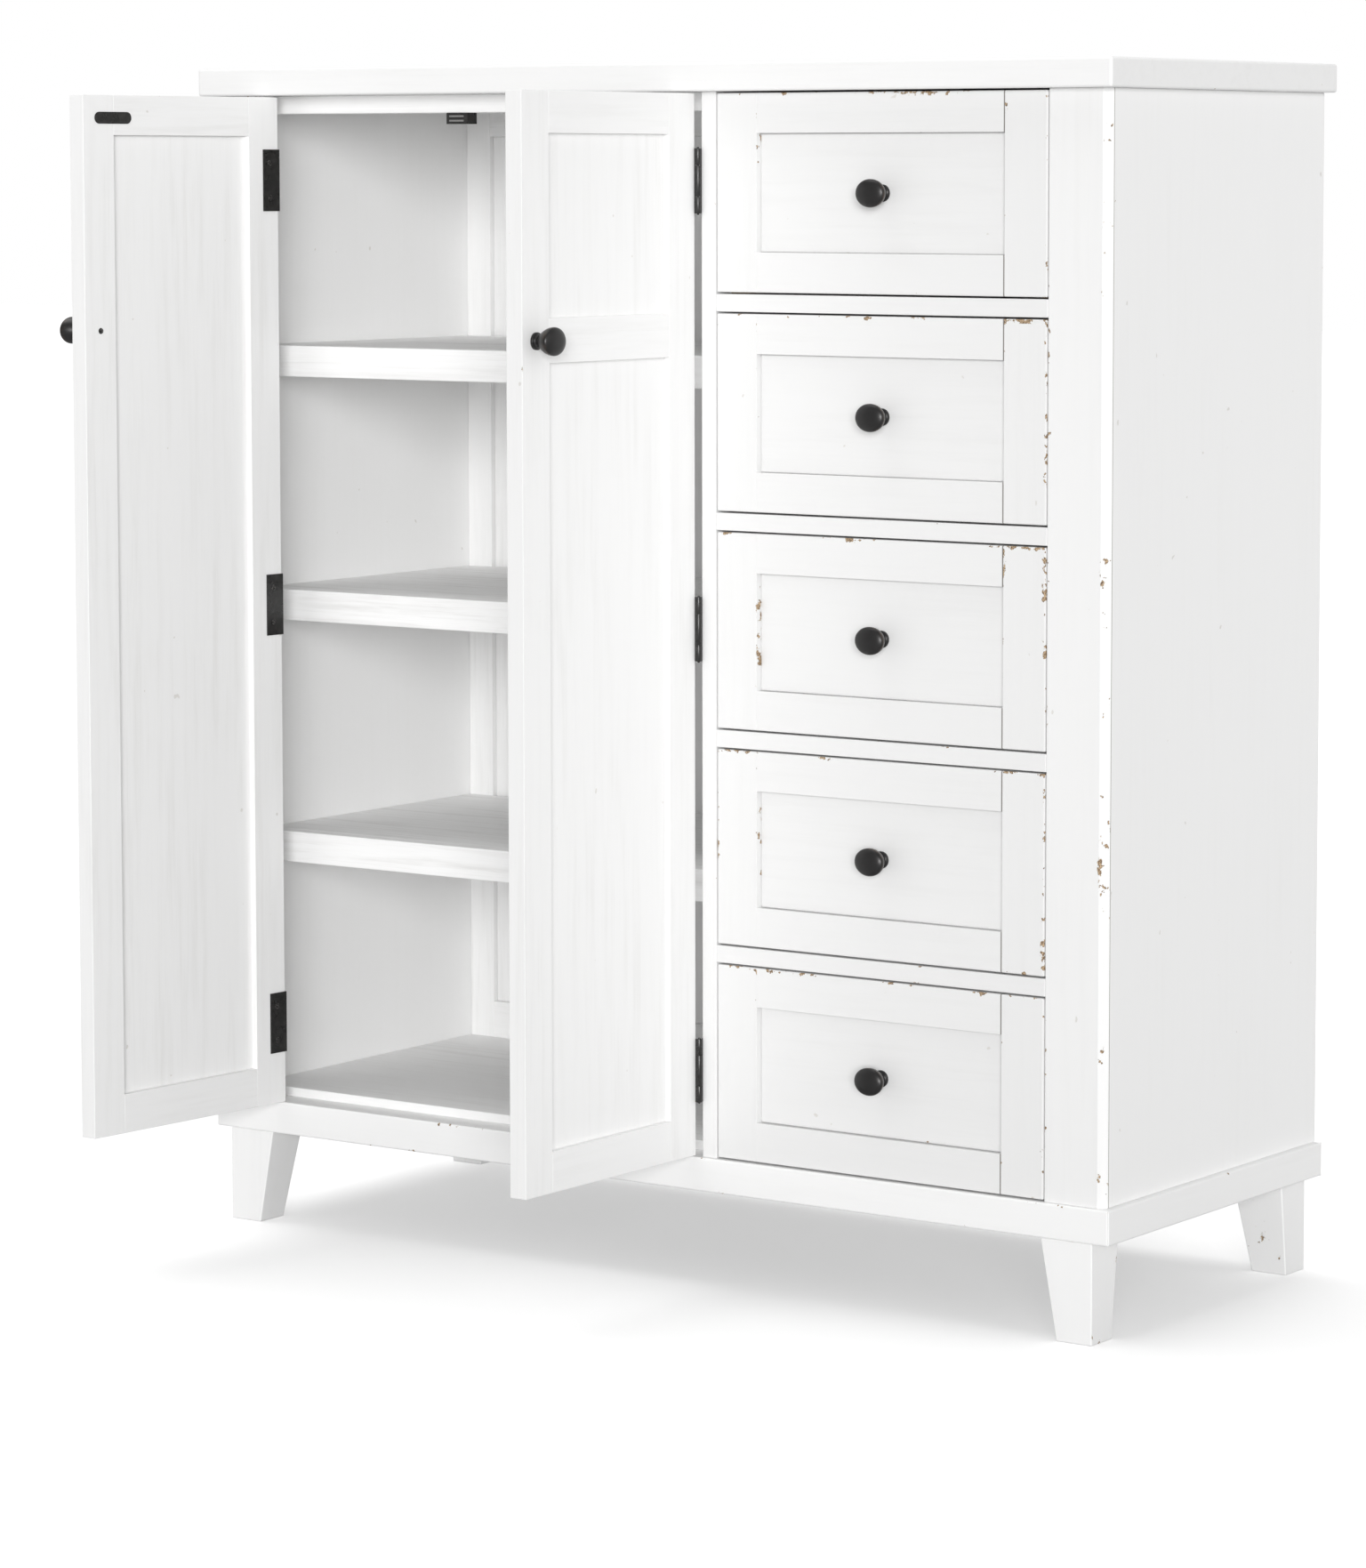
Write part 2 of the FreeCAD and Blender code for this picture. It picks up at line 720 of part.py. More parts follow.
def make_drawer(number):
    name = "drawer_%d_" % number
    bottom = drawer_floor(number) + " + drawer_gap"
    top = bottom + " + drawer_front_height"
    depth = ("face", "drawer_front_back")
    left_stile = ("drawer_left", "drawer_left + drawer_stile_width")
    right_stile = ("drawer_right - drawer_stile_width", "drawer_right")
    across = (left_stile[1], right_stile[0])
    low_rail = bottom + " + drawer_rail_height"
    high_rail = top + " - drawer_rail_height"
    node(name + "front_frame", [
        board(left_stile, depth, (bottom, top)), board(right_stile, depth, (bottom, top)),
        board(across, depth, (bottom, low_rail)), board(across, depth, (high_rail, top))])
    node(name + "front_panel", [board(
        across, ("face + drawer_panel_recess", "drawer_front_back"),
        (low_rail, high_rail))])

    box_bottom = drawer_floor(number) + " + box_lift"
    level = (box_bottom, box_bottom + " + box_height")
    inner_left = "box_left + drawer_box_board"
    inner_right = "box_right - drawer_box_board"
    inner_front = "drawer_front_back + drawer_box_board"
    inner_rear = "box_rear - drawer_box_board"
    base = box_bottom + " + drawer_bottom_lift"
    node(name + "box", [
        board(("box_left", inner_left), ("drawer_front_back", "box_rear"), level),
        board((inner_right, "box_right"), ("drawer_front_back", "box_rear"), level),
        board((inner_left, inner_right), ("drawer_front_back", inner_front), level),
        board((inner_left, inner_right), (inner_rear, "box_rear"), level),
        board((inner_left, inner_right), (inner_front, inner_rear),
              (base, base + " + drawer_bottom_thickness"))])

    middle = "(%s + %s) / 2" % (bottom, top)
    knob = facing_front(make_knob(), "drawer_middle", "face + drawer_panel_recess", middle)
    screw = facing_back(
        make_screw("drawer_front_thickness - drawer_panel_recess + drawer_box_board"),
        "drawer_middle", inner_front, middle)
    node(name + "knob", [knob, screw])


# --- build, check and write ------------------------------------------------

make_top_slab()
make_sides()
make_front_stiles()
make_middle()
make_back()
make_shelves()
make_base()
make_legs()
make_drawer_frame()
make_frame_hinges()
make_catches()
make_door("left")
make_door("right")
for drawer in range(1, DRAWER_COUNT + 1):
    make_drawer(drawer)
doc.recompute()

faults = [item.Name for item in doc.Objects
          if "Invalid" in item.State or "Error" in item.State]
faults += [item.Label for item in nodes
           if item.Shape.isNull() or not item.Shape.isValid() or item.Shape.Volume <= 0]
if faults:
    sys.exit("failed: " + ", ".join(faults))

os.makedirs("parts", exist_ok=True)
for item in nodes:
    item.Shape.exportStep("parts/%s.step" % item.Label)
print(len(nodes), "sub-parts,", sum(len(item.Shape.Solids) for item in nodes), "solids")
for alias in ("face", "door_width", "drawer_front_height", "left_pin", "right_pin",
              "pin_line", "base_top", "body_top", "slab_top", "floor_top", "knob_level"):
    print(alias, round(doc.Layout.get(alias), 3))
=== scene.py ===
import json
import math
import random

import bmesh
import bpy
from mathutils import Matrix, Vector

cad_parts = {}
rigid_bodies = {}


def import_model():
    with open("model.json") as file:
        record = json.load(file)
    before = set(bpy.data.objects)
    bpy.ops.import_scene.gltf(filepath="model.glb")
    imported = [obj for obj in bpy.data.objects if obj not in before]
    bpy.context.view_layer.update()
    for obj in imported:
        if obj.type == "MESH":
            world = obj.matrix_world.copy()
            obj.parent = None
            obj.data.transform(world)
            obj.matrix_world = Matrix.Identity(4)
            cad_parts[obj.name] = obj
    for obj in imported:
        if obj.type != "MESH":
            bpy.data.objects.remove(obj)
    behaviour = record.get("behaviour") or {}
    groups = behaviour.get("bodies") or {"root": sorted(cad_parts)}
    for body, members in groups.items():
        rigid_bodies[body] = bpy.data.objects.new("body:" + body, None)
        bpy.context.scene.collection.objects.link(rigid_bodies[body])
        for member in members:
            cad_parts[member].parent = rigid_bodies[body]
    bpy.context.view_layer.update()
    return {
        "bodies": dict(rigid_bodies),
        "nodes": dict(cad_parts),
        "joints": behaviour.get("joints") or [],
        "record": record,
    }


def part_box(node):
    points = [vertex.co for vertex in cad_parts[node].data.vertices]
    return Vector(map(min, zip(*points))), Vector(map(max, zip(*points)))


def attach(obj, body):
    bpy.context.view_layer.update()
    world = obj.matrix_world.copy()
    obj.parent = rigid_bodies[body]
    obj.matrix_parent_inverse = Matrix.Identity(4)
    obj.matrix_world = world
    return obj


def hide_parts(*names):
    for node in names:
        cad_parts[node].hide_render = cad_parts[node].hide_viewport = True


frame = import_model()

mm = 0.001
upright = Vector((0, 0, 1))
doorBodies = ("left_door", "right_door")
drawerBodies = sorted(name for name in frame["bodies"] if name.startswith("drawer_"))
hinges = {joint["child"]: joint for joint in frame["joints"] if joint["type"] == "hinge"}
nodeBody = {node: body for body, members in frame["record"]["behaviour"]["bodies"].items()
            for node in members}


def shutMove(body):
    # turns a door from the open position it rests in to its shut one
    if body not in hinges:
        return Matrix.Identity(4)
    joint = hinges[body]
    pin = Matrix.Translation(joint["pos_m"])
    turn = Matrix.Rotation(math.radians(joint["range_deg"][0]), 4, Vector(joint["axis"]))
    return pin @ turn @ pin.inverted()


shutMoves = {body: shutMove(body) for body in frame["bodies"]}


class Signal:
    # a shader value that takes part in ordinary expressions
    def __init__(self, wiring, socket):
        self.wiring = wiring
        self.socket = socket

    def join(self, operation, first, second=None):
        inputs = {0: first} if second is None else {0: first, 1: second}
        return self.wiring.add("ShaderNodeMath", {"operation": operation}, inputs).out()

    def __add__(self, other):
        return self.join("ADD", self, other)

    def __radd__(self, other):
        return self.join("ADD", other, self)

    def __sub__(self, other):
        return self.join("SUBTRACT", self, other)

    def __rsub__(self, other):
        return self.join("SUBTRACT", other, self)

    def __mul__(self, other):
        return self.join("MULTIPLY", self, other)

    def __rmul__(self, other):
        return self.join("MULTIPLY", other, self)

    def least(self, other):
        return self.join("MINIMUM", self, other)

    def most(self, other):
        return self.join("MAXIMUM", self, other)

    def fade(self, start, end):
        # smoothly 0 at start and 1 at end
        return self.wiring.add("ShaderNodeMapRange", {"interpolation_type": "SMOOTHSTEP"}, {
            "Value": self, "From Min": start, "From Max": end}).out("Result")


class Added:
    # a node that has been added, with its outputs as values
    def __init__(self, wiring, node):
        self.wiring = wiring
        self.node = node

    def out(self, name=0):
        return Signal(self.wiring, self.node.outputs[name])


class Wiring:
    # a node tree under construction
    def __init__(self, tree):
        self.tree = tree
        self.tree.nodes.clear()

    def add(self, kind, settings=None, inputs=None):
        node = self.tree.nodes.new(kind)
        for name, value in (settings or {}).items():
            setattr(node, name, value)
        for name, value in (inputs or {}).items():
            if isinstance(value, Signal):
                self.tree.links.new(value.socket, node.inputs[name])
            else:
                node.inputs[name].default_value = value
        return Added(self, node)


class Finish(Wiring):
    # a material under construction
    def __init__(self, name):
        self.material = bpy.data.materials.new(name)
        self.material.use_nodes = True
        super().__init__(self.material.node_tree)

    def noise(self, place, scale=1.0, detail=3.0, roughness=0.55):
        return self.add("ShaderNodeTexNoise", None, {
            "Vector": place, "Scale": scale, "Detail": detail,
            "Roughness": roughness}).out(0)

    def vector(self, x, y, z):
        return self.add("ShaderNodeCombineXYZ", None, {0: x, 1: y, 2: z}).out()

    def split(self, vector):
        node = self.add("ShaderNodeSeparateXYZ", None, {0: vector})
        return node.out(0), node.out(1), node.out(2)

    def boardPlace(self):
        # a point's place in its own board, moved so that no two boards look alike
        along, across, through = self.split(self.attribute("boardPlace"))
        seed, wear, streaks = self.split(self.attribute("boardNature"))
        return (along + seed * 3.1, across + seed * 1.7, through + seed * 2.3), wear, streaks

    def grain(self, place, pattern, detail, roughness=0.55):
        x, y, z = place
        along, across = pitches[pattern]
        return self.noise(self.vector(x * along, y * across, z * across), 1.0, detail, roughness)

    def attribute(self, name, output="Vector"):
        return self.add("ShaderNodeAttribute", {"attribute_name": name}).out(output)

    def blend(self, factor, first, second):
        mixed = self.add("ShaderNodeMix", {"data_type": "RGBA"}, {0: factor})
        for index, colour in ((6, first), (7, second)):
            if isinstance(colour, Signal):
                self.tree.links.new(colour.socket, mixed.node.inputs[index])
            else:
                mixed.node.inputs[index].default_value = (*colour, 1)
        return mixed.out(2)

    def bump(self, height, distance, strength=1.0):
        return self.add("ShaderNodeBump", None, {
            "Height": height, "Distance": distance, "Strength": strength}).out()

    def surface(self, inputs):
        shader = self.add("ShaderNodeBsdfPrincipled", None, inputs)
        self.add("ShaderNodeOutputMaterial", None, {"Surface": shader.out()})
        return self.material


# how many cells of each pattern a metre holds, along a board and across it
pitches = {"fibres": (14, 520), "strokes": (5, 95), "clouds": (3.5, 14), "spots": (85, 85),
           "groups": (11, 11), "rag": (700, 900), "dents": (60, 75), "bend": (1.6, 5),
           "boxFibres": (16, 700)}
outsidePaint = {
    "paint": (0.95, 0.949, 0.946), "thin": (0.80, 0.795, 0.78), "streaks": 0.45,
    "bareWood": (0.56, 0.41, 0.26), "darkWood": (0.14, 0.09, 0.055),
    # the seam colour is a painted shadow in the opened hairline seams
    "dirt": (0.62, 0.59, 0.54), "seam": (0.16, 0.145, 0.125),
    "roughness": 0.48, "grainDepth": 0.14 * mm,
    "chipStart": 1.035, "chipSpread": 26 * mm, "chipLimit": 3.0 * mm, "chipRag": 1.1 * mm,
    "chipInset": 0.55 * mm, "chipEdge": 0.3 * mm, "rimWidth": 0.55 * mm,
    "dentStart": 0.86, "dentEdge": 0.02, "seamStart": 0.45 * mm, "seamEnd": 0.95 * mm,
}
# the inside paint is a thinner, streakier wash, and its white is set a little brighter than the
# outside's as painted light that lifts the dimly lit inside
insidePaint = dict(outsidePaint, paint=(0.965, 0.964, 0.961), thin=(0.74, 0.735, 0.72),
                   streaks=1.0, roughness=0.56, grainDepth=0.2 * mm, chipStart=1.3,
                   dentStart=1.1)


def makePaint(name, look):
    finish = Finish(name)
    place, wear, streaks = finish.boardPlace()
    edgeGap = finish.attribute("edgeGap", "Fac")
    paintedShade = finish.attribute("boardPaintedShade", "Fac")

    fibres = finish.grain(place, "fibres", 3.0, 0.6)
    strokes = finish.grain(place, "strokes", 4.0, 0.62)
    clouds = finish.grain(place, "clouds", 2.0)
    thin = strokes.fade(0.42, 0.78) * 0.75 + fibres.fade(0.45, 0.8) * 0.3
    thin = thin * (0.3 + clouds.fade(0.3, 0.7)) * streaks * look["streaks"]
    painted = finish.blend(thin.least(1.0), look["paint"], look["thin"])
    # painted shade: the board's paint is darkened towards black by its own factor, so that some
    # boards look less lit
    painted = finish.blend(paintedShade, (0, 0, 0), painted)

    spots = finish.grain(place, "spots", 3.0, 0.65)
    groups = finish.grain(place, "groups", 1.0)
    rag = finish.grain(place, "rag", 2.0)
    excess = spots + groups * 0.55 + wear * 0.05 - look["chipStart"]
    reach = (excess * look["chipSpread"]).least(look["chipLimit"]) + rag * look["chipRag"]
    gap = edgeGap + look["chipInset"]
    chips = (reach - gap).fade(0.0, look["chipEdge"])
    rims = (reach - gap).fade(-look["rimWidth"], 0.0)
    dentEnd = look["dentStart"] + look["dentEdge"]
    dents = (finish.grain(place, "dents", 1.0) + groups * 0.12).fade(look["dentStart"], dentEnd)
    wood = finish.blend(rag.fade(0.42, 0.6), look["bareWood"], look["darkWood"])
    shown = finish.blend((rims * 0.45).most(dents * 0.5), painted, look["dirt"])
    shown = finish.blend(chips, shown, wood)
    # painted shadow: within a hair of an opened seam the paint darkens to the seam colour
    seamGap = finish.attribute("seamGap", "Fac")
    seamShade = (1 - seamGap.fade(look["seamStart"], look["seamEnd"])) * 0.8
    shown = finish.blend(seamShade, shown, look["seam"])

    height = fibres * 0.35 + strokes * 0.65 - (chips + dents * 0.5) * 2.2
    return finish.surface({
        "Base Color": shown,
        "Roughness": look["roughness"] + chips * 0.2 + strokes * 0.08,
        "Normal": finish.bump(height, look["grainDepth"]),
        "Specular IOR Level": 0.4})


boxWood = {"pale": (0.60, 0.46, 0.30), "dark": (0.45, 0.31, 0.175), "roughness": 0.5,
           "grainDepth": 0.12 * mm}


def makeBoxWood(name, look):
    finish = Finish(name)
    place = finish.boardPlace()[0]
    x, y, z = place
    bend = finish.grain(place, "bend", 2.0)
    rings = finish.noise(finish.vector(x * 1.4, y * 60 + bend * 9, z * 60), 1.0, 4.0, 0.6)
    fibres = finish.grain(place, "boxFibres", 2.0, 0.6)
    shade = rings.fade(0.35, 0.7) * 0.7 + fibres * 0.3
    return finish.surface({
        "Base Color": finish.blend(shade, look["pale"], look["dark"]),
        "Roughness": look["roughness"] + fibres * 0.12,
        "Normal": finish.bump(shade, look["grainDepth"]),
        "Specular IOR Level": 0.35})


ironCoat = {"black": (0.014, 0.0135, 0.013), "dusty": (0.04, 0.038, 0.036),
            "roughness": 0.22, "grit": 0.03 * mm}


def makeIronCoat(name, look):
    finish = Finish(name)
    place = finish.add("ShaderNodeTexCoord").out("Object")
    grit = finish.noise(place, 1900.0, 2.0)
    patches = finish.noise(place, 130.0, 3.0)
    return finish.surface({
        "Base Color": finish.blend(patches.fade(0.45, 0.75) * 0.5, look["black"],
                                   look["dusty"]),
        "Roughness": look["roughness"] + patches * 0.14,
        "Normal": finish.bump(grit, look["grit"], 0.6),
        "Specular IOR Level": 0.5})


knobBronze = {"dark": (0.034, 0.033, 0.033), "rubbed": (0.082, 0.062, 0.05),
              "roughness": 0.27}


def makeKnobBronze(name, look):
    finish = Finish(name)
    place = finish.add("ShaderNodeTexCoord").out("Object")
    rim = finish.attribute("rim", "Fac")
    patches = finish.noise(place, 160.0, 4.0, 0.6)
    grit = finish.noise(place, 1400.0, 2.0)
    rub = (rim * 0.5 + patches * 0.75).fade(0.72, 1.05)
    return finish.surface({
        "Base Color": finish.blend(rub, look["dark"], look["rubbed"]),
        "Roughness": look["roughness"] + patches * 0.16,
        "Normal": finish.bump(grit + patches, 0.04 * mm, 0.6),
        "Metallic": 0.6})


screwCoat = {"dark": (0.035, 0.034, 0.033), "worn": (0.24, 0.235, 0.23), "roughness": 0.24}


def makeScrewCoat(name, look):
    finish = Finish(name)
    place = finish.add("ShaderNodeTexCoord").out("Object")
    patches = finish.noise(place, 900.0, 3.0, 0.6)
    return finish.surface({
        "Base Color": finish.blend(patches.fade(0.44, 0.66), look["dark"], look["worn"]),
        "Roughness": look["roughness"] + patches * 0.14,
        "Metallic": 0.85})


poleSteel = {"steel": (0.42, 0.415, 0.41), "roughness": 0.32}


def makePoleSteel(name, look):
    finish = Finish(name)
    x, y, z = finish.split(finish.add("ShaderNodeTexCoord").out("Object"))
    brushing = finish.noise(finish.vector(x * 90, y * 2400, z * 2400), 1.0, 2.0)
    return finish.surface({
        "Base Color": (*look["steel"], 1), "Metallic": 1.0,
        "Roughness": look["roughness"] + brushing * 0.2})


floorLook = {"shade": 0.82, "glow": 0.38, "bounce": 0.5}


def makeFloorFinish(name, look):
    # a pale floor that looks lit from below, and throws back only part of its light
    finish = Finish(name)
    pale = finish.add("ShaderNodeBsdfDiffuse", None, {"Color": (*[look["shade"]] * 3, 1)})
    glow = finish.add("ShaderNodeEmission", None, {"Strength": look["glow"]})
    lit = finish.add("ShaderNodeAddShader", None, {0: pale.out(), 1: glow.out()})
    dim = finish.add("ShaderNodeBsdfDiffuse", None, {"Color": (*[look["bounce"]] * 3, 1)})
    seen = finish.add("ShaderNodeLightPath").out("Is Camera Ray")
    shown = finish.add("ShaderNodeMixShader", None, {0: seen, 1: dim.out(), 2: lit.out()})
    finish.add("ShaderNodeOutputMaterial", None, {"Surface": shown.out()})
    return finish.material


finishes = {
    "painted_wood": makePaint("painted_wood", outsidePaint),
    "painted_interior": makePaint("painted_interior", insidePaint),
    "raw_wood": makeBoxWood("raw_wood", boxWood),
    "black_metal": makeIronCoat("black_metal", ironCoat),
    "knob_bronze": makeKnobBronze("knob_bronze", knobBronze),
    "screw_coat": makeScrewCoat("screw_coat", screwCoat),
    "pole_steel": makePoleSteel("pole_steel", poleSteel),
    "studio_floor": makeFloorFinish("studio_floor", floorLook),
}
nodeSlot = {part["node"]: part["material_slot"] for part in frame["record"]["subparts"]}
print("finishes made:", len(finishes))


def partSolids(shape):
    # parts solids that were welded where their corners touch
    left = set(shape.faces)
    groups = []
    while left:
        reach = [left.pop()]
        group = []
        while reach:
            face = reach.pop()
            group.append(face)
            for edge in face.edges:
                for other in edge.link_faces if len(edge.link_faces) == 2 else ():
                    if other in left:
                        left.remove(other)
                        reach.append(other)
        groups.append(group)
    for group in groups[1:]:
        bmesh.ops.split(shape, geom=group)


clean = {"weld": 0.01 * mm, "flatAngle": 0.5}


def cleanCopy(node, move):
    # the node's solids in a bmesh of whole faces, moved
    shape = bmesh.new()
    shape.from_mesh(frame["nodes"][node].data)
    bmesh.ops.remove_doubles(shape, verts=shape.verts, dist=clean["weld"])
    partSolids(shape)
    bmesh.ops.dissolve_limit(shape, angle_limit=math.radians(clean["flatAngle"]), verts=shape.verts,
                             edges=shape.edges)
    bmesh.ops.transform(shape, matrix=move, verts=shape.verts)
    return shape


def sharpEdges(shape, angle=30):
    return [edge for edge in shape.edges if len(edge.link_faces) == 2
            and edge.calc_face_angle(0) > math.radians(angle)]


def solidsOf(shape):
    # groups of vertices, one for each separate solid, from the lowest corner up
    left = set(shape.verts)
    groups = []
    while left:
        reach = [left.pop()]
        group = []
        while reach:
            vertex = reach.pop()
            group.append(vertex)
            for edge in vertex.link_edges:
                other = edge.other_vert(vertex)
                if other in left:
                    left.remove(other)
                    reach.append(other)
        groups.append(group)
    return sorted(groups, key=lambda group: tuple(
        round(min(vertex.co[axis] for vertex in group), 4) for axis in (2, 0, 1)))


def span(vertices):
    low = Vector([min(vertex.co[axis] for vertex in vertices) for axis in range(3)])
    high = Vector([max(vertex.co[axis] for vertex in vertices) for axis in range(3)])
    return low, high


def solidBoxes(node):
    # each solid's lowest and highest corner, with the doors shut
    shape = cleanCopy(node, shutMoves[nodeBody[node]])
    boxes = [span(group) for group in solidsOf(shape)]
    shape.free()
    return boxes


def finishPiece(name, mesh, body, slot, finish=None, replaced=None):
    # puts a mesh drawn with the doors shut on its body
    mesh.transform(shutMoves[body].inverted())
    piece = bpy.data.objects.new(name, mesh)
    bpy.context.scene.collection.objects.link(piece)
    mesh.materials.clear()
    mesh.materials.append(finishes[finish or slot])
    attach(piece, body)
    if replaced:
        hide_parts(replaced)
    return piece


def pieceOf(shape, name, body, slot, finish=None, replaced=None):
    # ends a bmesh drawn with the doors shut as a piece
    mesh = bpy.data.meshes.new(name)
    shape.to_mesh(mesh)
    shape.free()
    return finishPiece(name, mesh, body, slot, finish, replaced)


# how much each board's edges are eased, how worn it is and how its brush strokes show, and its
# painted shade, which darkens the whole board and, more, the walls round a recessed panel
boardLook = {"ease": 0.9 * mm, "outerEase": 1.3 * mm, "wear": 0.6, "streaks": 0.5,
             "steps": 3, "sharp": 40, "paintedShade": 1.0, "recessPaintedShade": 0.62}
legLook = dict(ease=1.4 * mm, wear=1.2, streaks=0.35)
boardLooks = {
    "top_slab": dict(outerEase=0, wear=0.4, paintedShade=0.95),
    "front_stile": dict(ease=0.8 * mm, wear=1.5, streaks=0.35, paintedShade=0.93),
    "middle_stile": dict(wear=0.3, streaks=0.35, paintedShade=0.90),
    "side_panel": dict(ease=0.8 * mm, wear=0.2, streaks=0.3),
    "base": dict(ease=0.5 * mm, outerEase=2.2 * mm, wear=0.5, streaks=0.4),
    "front_leg": legLook,
    "rear_leg": legLook,
    "drawer_dividers": dict(wear=0.3, streaks=0.3, paintedShade=0.88),
    "shelf": dict(ease=1.4 * mm, outerEase=1.4 * mm, wear=0.1, streaks=1.0),
    "left_door": dict(ease=0.25 * mm, outerEase=0.6 * mm, wear=-0.6, streaks=1.1, paintedShade=0.98),
    "right_door": dict(ease=0.25 * mm, outerEase=0.6 * mm, wear=-0.6, streaks=0.9, paintedShade=0.95),
    "drawer_front": dict(ease=0.4 * mm, outerEase=1.6 * mm, wear=-0.5, streaks=0.35, paintedShade=0.88),
}
drawerWear = {"top": 3.0, "right": 2.2, "left": 1.0, "bottom": 0.0, "reach": 6 * mm}
seam = {"gap": 0.6 * mm, "reach": 0.1 * mm, "farAway": 1.0}
edgeBand = {"width": 3.8 * mm, "shortestEdge": 6 * mm, "smallestFace": 40 * mm * mm,
            "widestFace": 12 * mm, "share": 0.42}
nodeSeeds = {node: index for index, node in enumerate(sorted(frame["nodes"]))}


def lookOf(node):
    kind = "drawer_front" if node.startswith("drawer_") and "front" in node else node
    look = dict(boardLook)
    for start, changes in boardLooks.items():
        if kind.startswith(start):
            look.update(changes)
    return look


def onOutside(edge, low, high, reach=0.05 * mm):
    # whether an edge runs along an outer corner of the whole piece
    sides = 0
    for axis in range(3):
        for limit in (low[axis], high[axis]):
            if all(abs(vertex.co[axis] - limit) < reach for vertex in edge.verts):
                sides += 1
    return sides >= 2


def easeEdges(shape, edges, offset, steps):
    bmesh.ops.bevel(shape, geom=edges, offset=offset, segments=steps, profile=0.5,
                    affect="EDGES", clamp_overlap=True)


def bandFaces(shape):
    # a narrow band inside each flat face, so that every point knows how near its edge is
    gapLayer = shape.verts.layers.float.new("edgeGap")
    flat = [face for face in shape.faces
            if min(edge.calc_length() for edge in face.edges) > edgeBand["shortestEdge"]
            and face.calc_area() > edgeBand["smallestFace"]]
    for face in flat:
        width = min(2 * face.calc_area() / face.calc_perimeter(), edgeBand["widestFace"])
        band = min(edgeBand["width"], edgeBand["share"] * width)
        inner = bmesh.ops.inset_individual(shape, faces=[face], thickness=band,
                                           use_even_offset=True)
        for vertex in face.verts:
            vertex[gapLayer] = edgeBand["width"] if inner["faces"] else 0


def openSeams(shape, node):
    # hairline gaps at the right ends of a drawer front's rails and in front of a side panel
    for group in solidsOf(shape):
        low, high = span(group)
        rail = node.endswith("front_frame") and high.x - low.x > high.z - low.z
        for vertex in group:
            if rail and high.x - vertex.co.x < seam["reach"]:
                vertex.co.x -= seam["gap"]
            if node.startswith("side_panel") and vertex.co.y - low.y < seam["reach"]:
                vertex.co.y += seam["gap"]


def seamDistance(node, point, low, high):
    # how far a point is from its board's seam, where a painted shadow darkens the paint
    if node.endswith("front_frame") and high.x - low.x > high.z - low.z:
        return high.x - point.x
    if node.startswith("side_panel"):
        return point.y - low.y
    return seam["farAway"]


def paintedFaceShade(node, look, face, middle):
    # painted shade: the walls round a drawer front's recessed panel are painted a little greyer,
    # standing in for the shadow in the recess
    if node.endswith("front_frame"):
        offset = face.calc_center_median() - middle
        for axis in (0, 2):
            if abs(face.normal[axis]) > 0.9 and face.normal[axis] * offset[axis] < 0:
                return look["recessPaintedShade"]
    return 1.0


def wearAt(node, look, point, low, high):
    # drawer fronts are most chipped along their top and right edges
    if not node.endswith("front_frame"):
        return look["wear"]
    gaps = {"top": high.z - point.z, "right": high.x - point.x, "bottom": point.z - low.z,
            "left": point.x - low.x}
    for side, gap in gaps.items():
        if gap < drawerWear["reach"]:
            return drawerWear[side]
    return look["wear"]


def makeBoards(node):
    # eased boards in place of the node's square ones, each knowing its own length and wear
    body = nodeBody[node]
    look = lookOf(node)
    shape = cleanCopy(node, shutMoves[body])
    openSeams(shape, node)
    low, high = span(shape.verts)
    wholeLow, wholeHigh = low, high
    if look["outerEase"]:
        outer = [edge for edge in sharpEdges(shape) if onOutside(edge, low, high)]
        easeEdges(shape, outer, look["outerEase"], look["steps"])
        easeEdges(shape, sharpEdges(shape, look["sharp"]), look["ease"], look["steps"])
    bandFaces(shape)
    dice = random.Random(nodeSeeds[node])
    placeLayer = shape.verts.layers.float_vector.new("boardPlace")
    natureLayer = shape.verts.layers.float_vector.new("boardNature")
    paintedShadeLayer = shape.verts.layers.float.new("boardPaintedShade")
    seamLayer = shape.verts.layers.float.new("seamGap")
    gapLayer = shape.verts.layers.float["edgeGap"]
    for group in solidsOf(shape):
        low, high = span(group)
        size = high - low
        order = sorted(range(3), key=lambda axis: -size[axis])
        centre = (low + high) / 2
        seed = dice.uniform(0, 9)
        for vertex in group:
            offset = vertex.co - centre
            wear = wearAt(node, look, vertex.co, wholeLow, wholeHigh)
            vertex[placeLayer] = Vector([offset[axis] for axis in order])
            vertex[natureLayer] = Vector((seed, wear, look["streaks"]))
            vertex[paintedShadeLayer] = look["paintedShade"]
            vertex[seamLayer] = seamDistance(node, vertex.co, low, high)
    # painted shade on the walls round a recessed panel, on the inner vertices of each banded face
    for face in shape.faces:
        shade = paintedFaceShade(node, look, face, (wholeLow + wholeHigh) / 2)
        for vertex in face.verts:
            if shade < 1 and vertex[gapLayer] > 0:
                vertex[paintedShadeLayer] = look["paintedShade"] * shade
    return pieceOf(shape, node + "_boards", body, nodeSlot[node], replaced=node)


woodSlots = ("painted_wood", "painted_interior", "raw_wood")
woodNodes = sorted(node for node in frame["nodes"] if nodeSlot[node] in woodSlots)
for node in woodNodes:
    makeBoards(node)
print("boards made:", len(woodNodes))


knob = {"turns": 64, "baseRadius": 9.3 * mm, "baseHeight": 3.0 * mm, "baseLip": 1.0 * mm,
        "neckRadius": 6.9 * mm, "neckHeight": 6.4 * mm, "rimHeight": 24.2 * mm,
        "ovalStart": 6.0 * mm, "ovalPace": 1.25, "crown": 0.9}


